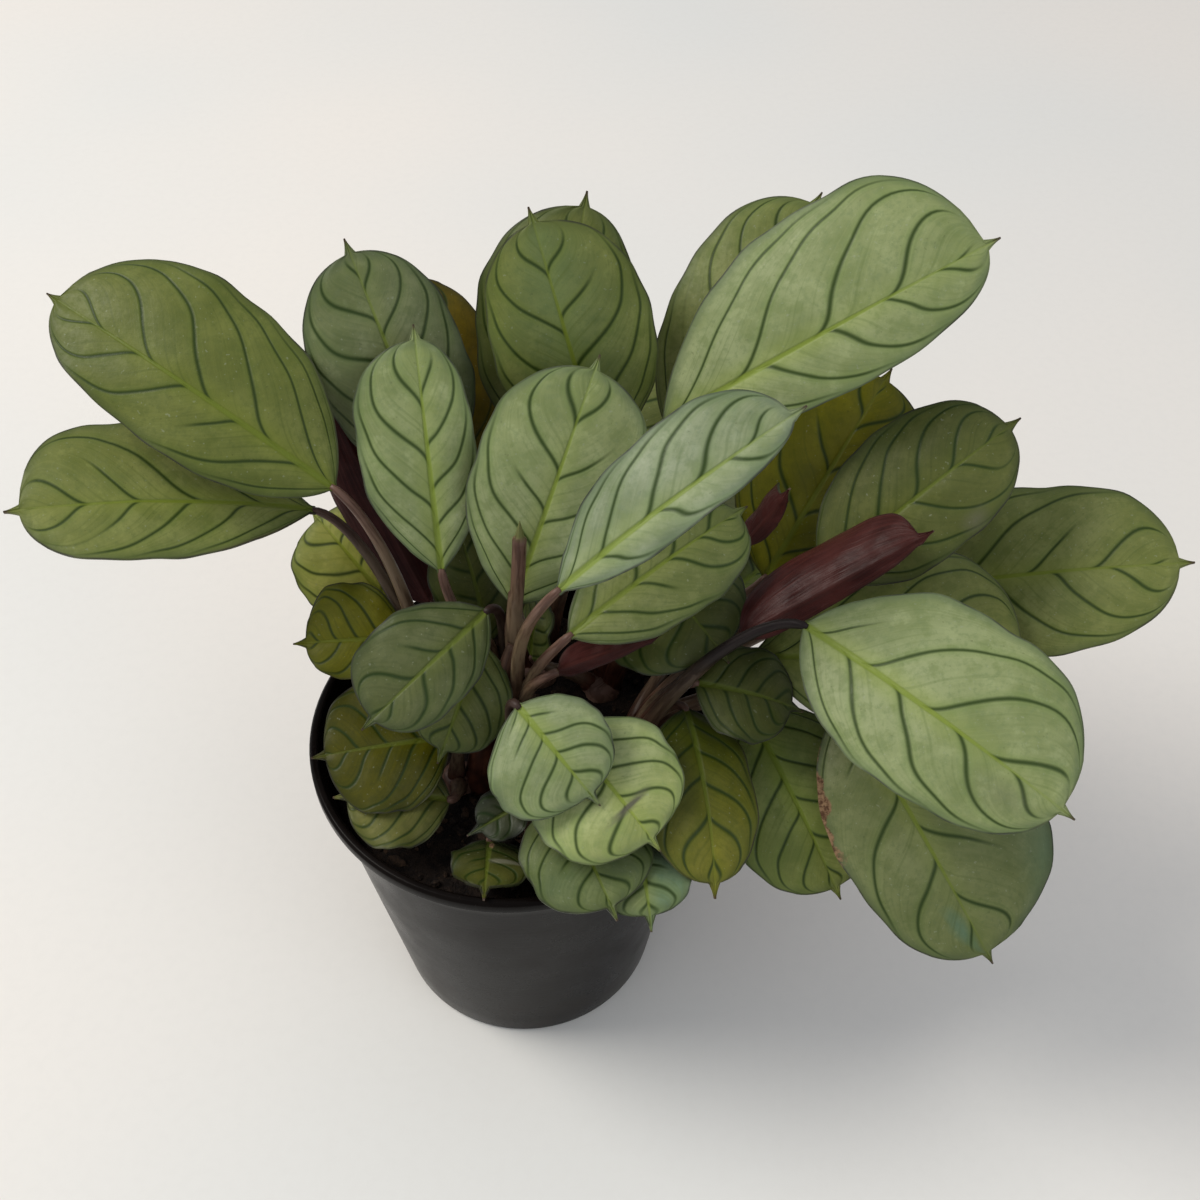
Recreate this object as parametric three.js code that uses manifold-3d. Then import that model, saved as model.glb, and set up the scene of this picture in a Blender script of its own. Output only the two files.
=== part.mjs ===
import * as THREE from "three";
import { mergeVertices } from "three/addons/utils/BufferGeometryUtils.js";
import Module from "manifold-3d";

const wasm = await Module();
wasm.setup();

// A young patterned prayer plant in its nursery pot.
// Millimetres, +Z up, the pot stands on z = 0 and its middle is the origin.
// The side seen in the photo faces -Y.

// Pot
const POT_HEIGHT = 97;
const RIM_RADIUS = 52.5;
const RIM_BAND = 4;
const WALL_TOP_RADIUS = 49.8;
const BASE_RADIUS = 37.4;
const WALL = 1.1;
const FLOOR = 2.2;
const POT_SIDES = 48;

// Soil
const SOIL_TOP = 87.5;
const SOIL_GAP = 0.35;
const SOIL_SIDES = 32;
const SOIL_RINGS = 4;

// Root stubs of the stem clumps, each in a plain hole in the soil
const STUB_RADIUS = 6;
const STUB_SIDES = 10;
const STUB_BOTTOM = 76;
const STUB_TOP = 91;
const FIT_GAP = 0.35;

// Leaf stalks
const STALK_SIDES = 5;
const STALK_STEPS = 5;
const STALK_FOOT_RADIUS = 2.1;
const STALK_NECK_RADIUS = 1.05;
const STALK_SPREAD = 2.9;
const STALK_RISE = 0.38;
const STALK_REACH = 0.2;

// Leaf blades
const BLADE = 0.8;
const NECK_HALF = 1.1;
const TIP_HALF = 0.45;
const SPUR_LENGTH = 3.4;
const SPUR_HALF = 1.3;
const EDGE_WAVE = 0.9;
const LONG_BLADE = [0, 0.05, 0.16, 0.34, 0.54, 0.74, 0.88, 0.965];
const SHORT_BLADE = [0, 0.08, 0.26, 0.56, 0.82, 0.955];
const LONG_FROM = 36;
const ACROSS = [-1, -0.5, 0, 0.5, 1];

const CLUMPS = {
  A: [-20, 12],
  B: [-14, -10],
  C: [0, 5],
  D: [5, 25],
  E: [22, 20],
  F: [28, 0],
  G: [17, -11],
  H: [5, -25],
};

// name, clump, neck, tip, width, roll, arch, fold, curl, twist, lean
// neck and tip are the two ends of the midrib; roll turns the blade about it, arch lifts
// its middle, fold makes a shallow V, curl bends the margins (down if negative), twist
// winds it, and lean makes one half wider than the other.
const LEAVES = [
  ["left_high", "A", [-40, 20, 162], [-107, 54, 192], 42, -30, 7, 5, -25, 4, -0.24],
  ["left_low", "A", [-49, 33, 142], [-116, 14, 160], 38, -20, 5, 8, -20, -4, -0.2],
  ["back_left", "D", [-18, 38, 150], [-37, 60, 203], 36.5, -25, 6, 5, -25, 6, 0.05],
  ["back_left_olive", "D", [-13, 42, 138], [-28, 79, 182], 34, 5, 6, 5, -20, 0, 0],
  ["centre_left", "C", [-16, 12, 142], [-21, 45, 190], 27.5, 0, 5, 5, -15, -3, 0.18],
  ["back_top", "D", [10, 51, 144], [19, 72, 208], 39, 15, 7, 5, -20, 0, 0.17],
  ["back_centre", "D", [22, 40, 155], [6, 56, 214], 38.5, -35, 7, 5, -25, 4, -0.08],
  ["centre_big", "C", [1, 7, 136], [22, 34, 190], 39, 30, 6, 5, -20, 0, 0],
  ["centre_diagonal", "C", [13, -18, 168], [64, 1, 203], 22, 30, 5, 8, -15, 3, 0.35],
  ["under_diagonal", "C", [15, -10, 144], [57, 22, 154], 25, 20, 4, 8, -15, 0, -0.15],
  ["dark_mid", "E", [29, 26, 134], [53, -4, 127], 38, 15, 5, 5, -20, 0, -0.12],
  ["top_right_back", "E", [42, 50, 148], [76, 84, 200], 35, 25, 6, 5, -25, 0, 0.15],
  ["top_right_big", "E", [37, 36, 168], [110, 47, 212], 43, 45, 6, 5, -25, -5, 0.33],
  ["right_olive", "E", [64, 25, 126], [95, 60, 165], 41, 20, 5, 5, -15, 4, 0],
  ["right_upper", "F", [76, 15, 138], [120, 32, 173], 34, 30, 5, 5, -20, 0, 0.08],
  ["right_far", "F", [97, 35, 109], [166, 16, 141], 44, 35, 6, 5, -20, -4, 0.05],
  ["right_big", "F", [68, -12, 150], [121, -57, 140], 44, 30, 7, 5, -25, 4, 0.16],
  ["right_under", "F", [59, 3, 121], [128, -4, 122], 50, 27, 6, 5, -20, 0, 0.22],
  ["low_right_inner", "F", [59, 0, 105], [82, -39, 77], 39, 17, 6, 5, -18, 0, 0.06],
  ["low_right_big", "F", [82, -5, 114], [117, -56, 76], 49, 25, 8, 5, -20, -4, 0.18],
  ["low_centre", "F", [43, -7, 113], [49, -50, 96], 27, -10, 5, 5, -15, 0, -0.07],
  ["front_round_a", "H", [3, -20, 131], [22, -38, 117], 31, 25, 3, 5, -20, 3, -0.13],
  ["front_round_b", "G", [13, -19, 120], [36, -44, 107], 37, 15, 4, 5, -15, -3, -0.06],
  ["front_low_c", "H", [12, -28, 105], [26, -57, 98], 31, 0, 2, 5, -10, 0, 0],
  ["front_low_d", "G", [31, -37, 99], [34, -57, 93], 23, 0, 3, 5, -8, 0, -0.05],
  ["front_left_e", "C", [-5, 4, 137], [-33, -24, 127], 26, -30, 3, 5, -15, 3, -0.14],
  ["left_olive", "A", [-27, 15, 114], [-56, 13, 114], 25, -35, 3, 5, -15, 0, -0.2],
  ["left_yellow", "A", [-32, 27, 112], [-55, 51, 124], 33, -20, 3, 5, -15, 0, -0.05],
  ["left_front_f", "B", [-15, -11, 107], [-48, -19, 109], 33, -30, 3, 5, -15, -3, 0],
  ["left_front_g", "B", [-15, -23, 97], [-43, -25, 101], 26, -15, 3, 5, -12, 0, 0.05],
  ["grey_inner", "C", [-7, 3, 126], [-17, -22, 111], 24, -20, 2, 5, -15, 0, 0],
  ["small_dark", "H", [4, -26, 101], [-10, -34, 98], 13, -25, 1, 15, 0, 0, 0],
  ["torn_small", "H", [-5, -32, 93], [-5, -52, 99], 19, -5, 1, 5, -15, 0, 0.08],
  ["back_low_left", "D", [-16, 52, 108], [-40, 98, 96], 38, -10, 8, 5, -20, 0, 0.1],
  ["back_low_mid", "D", [4, 54, 112], [6, 108, 104], 40, 0, 9, 5, -20, 0, -0.1],
  ["back_low_right", "E", [34, 46, 112], [62, 90, 106], 39, 10, 8, 5, -20, 0, 0.1],
  ["back_mid_left", "D", [-8, 54, 132], [-28, 102, 146], 36, 0, 7, 5, -20, 0, 0.1],
  ["back_mid_right", "E", [24, 56, 130], [34, 104, 138], 37, 0, 7, 5, -20, 0, -0.1],
  ["back_side_right", "F", [54, 38, 100], [90, 70, 90], 38, 0, 8, 5, -20, 0, 0.1],
  ["inner_right", "F", [45, -7, 123], [71, -11, 117], 24, 20, 3, 5, -15, 0, 0],
  ["inner_left", "C", [-7, 15, 112], [-14, 28, 145], 23, 0, 3, 5, -15, 0, 0],
  ["inner_upright", "E", [4, 20, 100], [10, 23, 124], 16, 0, 2, 5, -15, 0, 0],
];

// Young leaves still rolled up, their purple backs outward; same columns
const ROLLED = [
  ["left_rolled", "A", [-22, 25, 116], [-46, 54, 160], 22, 165, 3, 0, 60, 0, 0],
  ["purple_rolled", "F", [55, -4, 137], [97, 4, 164], 19, -145, 3, 0, 50, 0, -0.6],
  ["purple_low", "C", [12, -10, 131], [37, -3, 137], 8.5, -145, 2, 0, 40, 0, -0.5],
  ["purple_small", "E", [58, 23, 140], [67, 24, 158], 10, -140, 2, 0, 60, 0, -0.5],
];

// Stalks led clear of their neighbours: how far each of the two inner control points moves
const LED = {
  right_big: [[2, -13, 10], [0, -3, 1]],
  purple_rolled: [[2, -12, 9], [0, -3, 0]],
};

// Blades drawn out towards their stalk: where they are broadest, and how they narrow
const PLAIN = [0.5, 0.75];
const DRAWN = {
  left_low: [0.64, 1.05],
  centre_left: [0.55, 0.9],
  centre_big: [0.54, 0.85],
  centre_diagonal: [0.53, 0.9],
  top_right_big: [0.6, 0.9],
  right_under: [0.62, 1.1],
  front_left_e: [0.58, 0.8],
  purple_rolled: [0.34, 0.8],
  purple_low: [0.3, 0.8],
};

// The newest leaf, still a closed spear
const SPEAR = { clump: "C", from: [1, 3, 88], to: [4, 5, 166], foot: 2.3, tip: 1.1 };

const looks = {
  leaf: new THREE.MeshStandardMaterial({ color: 0x6f8a5e, roughness: 0.45, metalness: 0 }),
  leaf_back: new THREE.MeshStandardMaterial({ color: 0x5a2f3c, roughness: 0.5, metalness: 0 }),
  stem: new THREE.MeshStandardMaterial({ color: 0x5b3a33, roughness: 0.5, metalness: 0 }),
  pot: new THREE.MeshStandardMaterial({ color: 0x25262a, roughness: 0.4, metalness: 0 }),
  soil: new THREE.MeshStandardMaterial({ color: 0x17120f, roughness: 0.95, metalness: 0 }),
};

const rad = THREE.MathUtils.degToRad;
const vec = (p) => new THREE.Vector3(p[0], p[1], p[2]);

function geometryFrom(points, faces) {
  const geometry = new THREE.BufferGeometry();
  geometry.setAttribute("position", new THREE.Float32BufferAttribute(points.flat(), 3));
  geometry.setIndex(faces.flat());
  geometry.computeVertexNormals();
  return geometry;
}

// The closed geometry as a solid that can be joined and cut
function solidOf(geometry) {
  geometry.deleteAttribute("normal");
  geometry.deleteAttribute("uv");
  const merged = mergeVertices(geometry, 1e-4);
  const corners = merged.index.array;
  const faces = [];
  for (let i = 0; i < corners.length; i += 3) {
    const [a, b, c] = [corners[i], corners[i + 1], corners[i + 2]];
    if (a !== b && b !== c && c !== a) faces.push(a, b, c);
  }
  const mesh = new wasm.Mesh({
    numProp: 3,
    vertProperties: new Float32Array(merged.attributes.position.array),
    triVerts: new Uint32Array(faces),
  });
  return new wasm.Manifold(mesh);
}

function movePoints(geometry, move) {
  const at = geometry.attributes.position;
  const point = new THREE.Vector3();
  for (let i = 0; i < at.count; i++) {
    move(point.fromBufferAttribute(at, i));
    at.setXYZ(i, point.x, point.y, point.z);
  }
  return geometry;
}

function geometryOf(solid) {
  const mesh = solid.getMesh();
  const geometry = new THREE.BufferGeometry();
  geometry.setAttribute("position", new THREE.BufferAttribute(mesh.vertProperties, 3));
  geometry.setIndex(new THREE.BufferAttribute(mesh.triVerts, 1));
  geometry.computeVertexNormals();
  return geometry;
}

function nodeOf(name, geometry, look) {
  const node = new THREE.Mesh(geometry, look);
  node.name = name;
  return node;
}

// Half width of the blade at s along the midrib, on a half whose share of the width is wide
function halfWidth(s, width, length, wide, [middle, power]) {
  const body = 1 - SPUR_LENGTH / length;
  const broadest = middle + 0.25 * (wide - 1);
  const u = Math.min(s / body, 1);
  let w = 0;
  if (u < broadest) w = (1 - ((broadest - u) / broadest) ** 2.3) ** power;
  else w = Math.sqrt(Math.max(0, 1 - ((u - broadest) / (1 - broadest)) ** 2.8));
  w *= (width / 2) * wide;
  if (s < 0.4) return Math.max(w, NECK_HALF);
  const left = (1 - s) * length;
  const spur = TIP_HALF + (SPUR_HALF - TIP_HALF) * Math.min(1, left / (1.5 * SPUR_LENGTH));
  return Math.max(w, spur);
}

// Directions of a blade before it is arched: along it, across it and out of its face
function bladeAxes(neck, tip, roll) {
  const along = tip.clone().sub(neck);
  const length = along.length();
  along.normalize();
  const across = new THREE.Vector3(0, 0, 1).cross(along).normalize();
  across.applyAxisAngle(along, rad(roll));
  return { length, along, across, out: along.clone().cross(across) };
}

// A point of the blade's middle surface: s runs from neck to tip, v from margin to margin
function bladePoint(row, order, s, v) {
  const [name, , neckAt, tipAt, width, roll, arch, fold, curl, twist, lean] = row;
  const neck = vec(neckAt);
  const { length, along, across, out } = bladeAxes(neck, vec(tipAt), roll);
  const slope = (4 * arch * (1 - 2 * s)) / length;
  const tangent = along.clone().addScaledVector(out, slope).normalize();
  const face = tangent.clone().cross(across);
  const side = across.clone().applyAxisAngle(tangent, rad(twist) * (s - 0.5));
  face.copy(tangent).cross(side);
  const w = halfWidth(s, width, length, 1 + (v > 0 ? lean : -lean), DRAWN[name] ?? PLAIN);
  const share = w / (width / 2);
  const bend = rad(curl) * Math.abs(v) * share;
  const valley = rad(fold) * Math.min(1, 4 * s) * Math.min(1, 5 * (1 - s) + 0.1);
  const span = w * Math.abs(v);
  let reach = span;
  let lift = 0;
  if (Math.abs(bend) > 1e-6) {
    reach = (span * Math.sin(bend)) / bend;
    lift = (span * (1 - Math.cos(bend))) / bend;
  }
  const x = reach * Math.cos(valley) - lift * Math.sin(valley);
  const wave = EDGE_WAVE * share * Math.abs(v) ** 3 * Math.sin(15 * s + 2 * Math.sign(v) + 1.7 * order);
  const y = reach * Math.sin(valley) + lift * Math.cos(valley) + (share > 0.5 ? wave : 0);
  return neck
    .addScaledVector(along, length * s)
    .addScaledVector(out, 4 * arch * s * (1 - s))
    .addScaledVector(side, x * Math.sign(v))
    .addScaledVector(face, y);
}

function bladeNormal(row, order, s, v) {
  const step = 0.004;
  const s0 = Math.max(0, s - step);
  const s1 = Math.min(1, s + step);
  const v0 = Math.max(-1, v - 0.05);
  const v1 = Math.min(1, v + 0.05);
  const onward = bladePoint(row, order, s1, v * 0.2).sub(bladePoint(row, order, s0, v * 0.2));
  const outward = bladePoint(row, order, s, v1).sub(bladePoint(row, order, s, v0));
  return onward.cross(outward).normalize();
}

// One blade as a thin closed solid, split into triangles alike on both faces
function bladeGeometry(row, order) {
  const length = vec(row[3]).distanceTo(vec(row[2]));
  const body = 1 - SPUR_LENGTH / length;
  const stations = (length > LONG_FROM ? LONG_BLADE : SHORT_BLADE).map((u) => u * body);
  stations.push(body, 1);
  const points = [];
  for (const face of [1, -1]) {
    for (const s of stations) {
      for (const v of ACROSS) {
        const p = bladePoint(row, order, s, v);
        p.addScaledVector(bladeNormal(row, order, s, v), (face * BLADE) / 2);
        points.push(p.toArray());
      }
    }
  }
  const wide = ACROSS.length;
  const rows = stations.length;
  const under = wide * rows;
  const faces = [];
  for (let i = 0; i + 1 < rows; i++) {
    for (let j = 0; j + 1 < wide; j++) {
      const a = i * wide + j;
      const [b, c, d] = [a + 1, a + wide, a + wide + 1];
      const split = j < 2 ? [[a, c, d], [a, d, b]] : [[a, c, b], [b, c, d]];
      for (const [p, q, r] of split) {
        faces.push([p, q, r], [under + p, under + r, under + q]);
      }
    }
  }
  const rim = [];
  for (let j = 0; j < wide; j++) rim.push(j);
  for (let i = 1; i < rows; i++) rim.push(i * wide + wide - 1);
  for (let j = wide - 2; j >= 0; j--) rim.push((rows - 1) * wide + j);
  for (let i = rows - 2; i > 0; i--) rim.push(i * wide);
  rim.forEach((p, k) => {
    const q = rim[(k + 1) % rim.length];
    faces.push([p, q, under + p], [q, under + q, under + p]);
  });
  return geometryFrom(points, faces);
}

// A tapering round rod: a straight one from z = 0 to 1, bent along the curve
function rod(curve, foot, tip, steps, sides) {
  const frames = curve.computeFrenetFrames(steps, false);
  const straight = new THREE.CylinderGeometry(tip, foot, 1, sides, steps);
  straight.rotateX(Math.PI / 2).translate(0, 0, 0.5);
  movePoints(straight, (point) => {
    const i = Math.round(point.z * steps);
    const { x, y } = point;
    point.copy(curve.getPoint(i / steps));
    point.addScaledVector(frames.normals[i], x).addScaledVector(frames.binormals[i], y);
  });
  return solidOf(straight);
}

function uprightCylinder(x, y, bottom, top, radius, topRadius = radius) {
  const shape = new THREE.CylinderGeometry(topRadius, radius, top - bottom, STUB_SIDES);
  shape.rotateX(Math.PI / 2).translate(x, y, (bottom + top) / 2);
  return solidOf(shape);
}

// The stalk of one leaf rises from its clump and meets the blade in line with the midrib
function stalkCurve(row) {
  const [, clump, neckAt, tipAt, , roll, arch] = row;
  const neck = vec(neckAt);
  const { length, along, out } = bladeAxes(neck, vec(tipAt), roll);
  const start = along.clone().addScaledVector(out, (4 * arch) / length).normalize();
  const [x, y] = CLUMPS[clump];
  const toward = new THREE.Vector3(neck.x - x, neck.y - y, 0);
  if (toward.length() > STALK_SPREAD) toward.setLength(STALK_SPREAD);
  const foot = new THREE.Vector3(x, y, STUB_TOP - 4).add(toward);
  const end = neck.clone().addScaledVector(start, -FIT_GAP);
  const rise = foot.distanceTo(end);
  const first = foot.clone();
  first.z += STALK_RISE * rise;
  const second = end.clone().addScaledVector(start, -STALK_REACH * rise);
  const led = LED[row[0]];
  if (led) {
    first.add(vec(led[0]));
    second.add(vec(led[1]));
  }
  return new THREE.CubicBezierCurve3(foot, first, second, end);
}

function clumpSolid(name) {
  const [x, y] = CLUMPS[name];
  let solid = uprightCylinder(x, y, STUB_BOTTOM, STUB_TOP, STUB_RADIUS, STUB_RADIUS - 0.6);
  for (const row of [...LEAVES, ...ROLLED]) {
    if (row[1] !== name) continue;
    const curve = stalkCurve(row);
    solid = solid.add(rod(curve, STALK_FOOT_RADIUS, STALK_NECK_RADIUS, STALK_STEPS, STALK_SIDES));
  }
  if (SPEAR.clump === name) {
    const foot = vec(SPEAR.from);
    const tip = vec(SPEAR.to);
    const first = foot.clone().lerp(tip, 0.33);
    first.x -= 3;
    const second = foot.clone().lerp(tip, 0.7);
    const curve = new THREE.CubicBezierCurve3(foot, first, second, tip);
    solid = solid.add(rod(curve, SPEAR.foot, SPEAR.tip, 6, STALK_SIDES));
  }
  return solid;
}

function potGeometry() {
  const shoulder = POT_HEIGHT - RIM_BAND;
  const inner = WALL_TOP_RADIUS - WALL;
  const profile = [
    [0, 0],
    [BASE_RADIUS - 1.2, 0],
    [BASE_RADIUS, 1.2],
    [WALL_TOP_RADIUS, shoulder],
    [RIM_RADIUS - 0.5, shoulder],
    [RIM_RADIUS, shoulder + 0.6],
    [RIM_RADIUS, POT_HEIGHT - 0.7],
    [RIM_RADIUS - 0.7, POT_HEIGHT],
    [RIM_RADIUS - 1.9, POT_HEIGHT],
    [RIM_RADIUS - 2.4, POT_HEIGHT - 0.6],
    [inner, shoulder - 1.5],
    [BASE_RADIUS - WALL + 0.3, FLOOR],
    [0, FLOOR],
  ];
  const points = profile.map(([r, z]) => new THREE.Vector2(r, z));
  return new THREE.LatheGeometry(points, POT_SIDES).rotateX(Math.PI / 2);
}

const innerRadius = (z) => {
  const top = WALL_TOP_RADIUS - WALL;
  const bottom = BASE_RADIUS - WALL + 0.3;
  return bottom + ((top - bottom) * (z - FLOOR)) / (POT_HEIGHT - RIM_BAND - 1.5 - FLOOR);
};

function soilHeight(x, y) {
  const swell = 0.7 * Math.sin(x * 0.21 + 1) * Math.cos(y * 0.17);
  return SOIL_TOP + swell + 0.4 * Math.sin(0.4 * y - 0.3 * x);
}

function soilSolid() {
  const low = FLOOR + SOIL_GAP;
  const edge = SOIL_TOP - 1.5;
  const clear = SOIL_GAP / Math.cos(Math.PI / SOIL_SIDES) + 0.15;
  const reach = innerRadius(edge) - clear;
  const profile = [
    [0, low],
    [innerRadius(low) - clear, low],
    [reach, edge],
  ];
  for (let i = SOIL_RINGS - 1; i >= 0; i--) profile.push([(reach * i) / SOIL_RINGS, SOIL_TOP]);
  const points = profile.map(([r, z]) => new THREE.Vector2(r, z));
  const lump = new THREE.LatheGeometry(points, SOIL_SIDES).rotateX(Math.PI / 2);
  movePoints(lump, (point) => {
    if (point.z > edge + 0.1) point.z = soilHeight(point.x, point.y);
  });
  let soil = solidOf(lump);
  for (const [x, y] of Object.values(CLUMPS)) {
    const hole = uprightCylinder(x, y, STUB_BOTTOM - FIT_GAP, POT_HEIGHT, STUB_RADIUS + FIT_GAP);
    soil = soil.subtract(hole);
  }
  return soil;
}

const plant = new THREE.Group();
plant.name = "potted_prayer_plant";
plant.add(nodeOf("pot", potGeometry(), looks.pot));
plant.add(nodeOf("soil", geometryOf(soilSolid()), looks.soil));
for (const name of Object.keys(CLUMPS)) {
  plant.add(nodeOf(`stems_${name.toLowerCase()}`, geometryOf(clumpSolid(name)), looks.stem));
}
LEAVES.forEach((row, order) => {
  plant.add(nodeOf(`leaf_${row[0]}`, bladeGeometry(row, order), looks.leaf));
});
ROLLED.forEach((row, order) => {
  plant.add(nodeOf(`leaf_${row[0]}`, bladeGeometry(row, order), looks.leaf_back));
});

export default plant;
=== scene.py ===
"""A prayer plant with vein-patterned oblong leaves in a dark plastic nursery pot."""

import math
import random

import bmesh
import bpy
from mathutils import Matrix, Vector, noise


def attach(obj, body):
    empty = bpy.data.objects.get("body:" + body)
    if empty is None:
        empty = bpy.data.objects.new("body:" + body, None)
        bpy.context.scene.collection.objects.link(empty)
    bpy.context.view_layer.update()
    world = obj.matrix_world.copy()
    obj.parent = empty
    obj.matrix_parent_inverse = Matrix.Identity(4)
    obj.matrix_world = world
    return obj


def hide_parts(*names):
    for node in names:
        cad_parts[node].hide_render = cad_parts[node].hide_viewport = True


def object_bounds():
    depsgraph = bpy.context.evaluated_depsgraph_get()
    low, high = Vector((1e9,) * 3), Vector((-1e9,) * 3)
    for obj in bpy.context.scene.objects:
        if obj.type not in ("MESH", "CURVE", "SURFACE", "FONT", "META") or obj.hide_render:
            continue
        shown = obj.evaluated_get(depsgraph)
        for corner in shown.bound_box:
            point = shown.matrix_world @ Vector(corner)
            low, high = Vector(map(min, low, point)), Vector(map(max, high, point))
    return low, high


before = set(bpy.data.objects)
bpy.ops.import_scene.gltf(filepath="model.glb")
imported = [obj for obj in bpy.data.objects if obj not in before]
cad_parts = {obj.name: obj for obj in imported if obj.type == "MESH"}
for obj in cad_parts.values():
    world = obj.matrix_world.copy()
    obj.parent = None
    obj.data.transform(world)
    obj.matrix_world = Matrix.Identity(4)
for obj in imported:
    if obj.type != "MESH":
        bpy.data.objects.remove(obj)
cad_box = [list(corner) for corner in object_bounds()]

# Sizes, in millimetres

MM = 0.001
POT_HEIGHT = 97
RIM_RADIUS = 52.5
RIM_BAND = 4
WALL_TOP_RADIUS = 49.8
BASE_RADIUS = 37.4
WALL = 1.1
POT_FLOOR = 2.2
SOIL_TOP = 87.5
STUB_TOP = 91
SHEET = 0.6
NECK_HALF = 1.1
TIP_HALF = 0.22
SPUR_LENGTH = 3.4
SPUR_HALF = 1.35
EDGE_WAVE = 0.9
FOOT_RADIUS = 2.1
NECK_RADIUS = 1.05
STALK_SPREAD = 2.9

CLUMPS = {
    "A": (-20, 12), "B": (-14, -10), "C": (0, 5), "D": (5, 25),
    "E": (22, 20), "F": (28, 0), "G": (17, -11), "H": (5, -25),
}

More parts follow.
